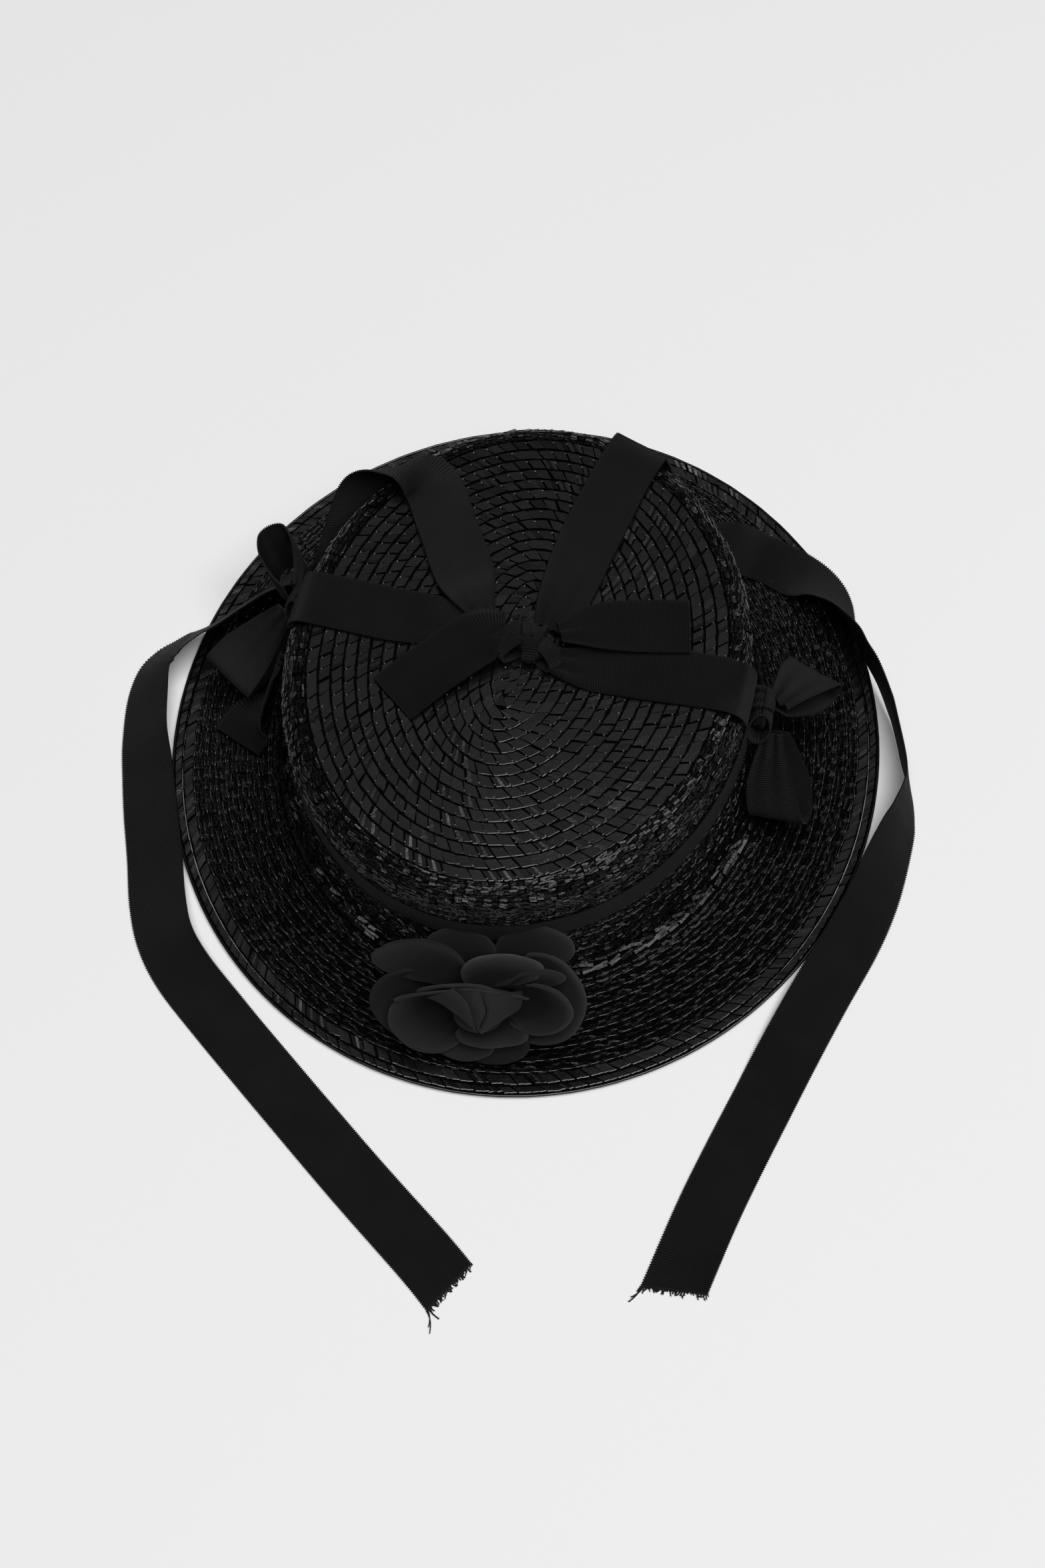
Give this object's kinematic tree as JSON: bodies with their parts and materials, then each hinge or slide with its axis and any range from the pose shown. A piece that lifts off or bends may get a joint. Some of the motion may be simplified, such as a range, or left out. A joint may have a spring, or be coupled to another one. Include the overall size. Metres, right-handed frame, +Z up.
{
  "type": "boater hat",
  "caption": "Black straw boater with a low flat crown and a flat brim, grosgrain bands and side bows, two loose chin ties and a cloth flower on the brim.",
  "frame": {"origin": "middle of the box round hat and ties, on the surface that the brim's edge stands on", "axes": "+Z up through the crown; -Y is the front with the flower; +X is to the right seen from the front"},
  "size_m": [0.3366, 0.4014, 0.0828],
  "materials": {
    "straw": "glossy lacquered braid straw",
    "ribbon": "matt ribbed grosgrain",
    "petal_cloth": "matt woven cloth"
  },
  "bodies": {
    "root": {"arm_left": "ribbon", "arm_right": "ribbon", "brim": "straw", "brim_edge": "straw", "crown": "straw", "flower_bud": "petal_cloth", "hat_band": "ribbon", "left_knot": "ribbon", "left_loop_back": "ribbon", "left_loop_front": "ribbon", "left_tail": "ribbon", "petal_inner_1": "petal_cloth", "petal_inner_2": "petal_cloth", "petal_inner_3": "petal_cloth", "petal_middle_1": "petal_cloth", "petal_middle_2": "petal_cloth", "petal_middle_3": "petal_cloth", "petal_middle_4": "petal_cloth", "petal_outer_1": "petal_cloth", "petal_outer_2": "petal_cloth", "petal_outer_3": "petal_cloth", "petal_outer_4": "petal_cloth", "petal_outer_5": "petal_cloth", "petal_outer_6": "petal_cloth", "right_knot": "ribbon", "right_loop_back": "ribbon", "right_loop_front": "ribbon", "tie_left": "ribbon", "tie_right": "ribbon", "top_knot": "ribbon", "top_tail_left": "ribbon", "top_tail_right": "ribbon"}
  },
  "joints": []
}
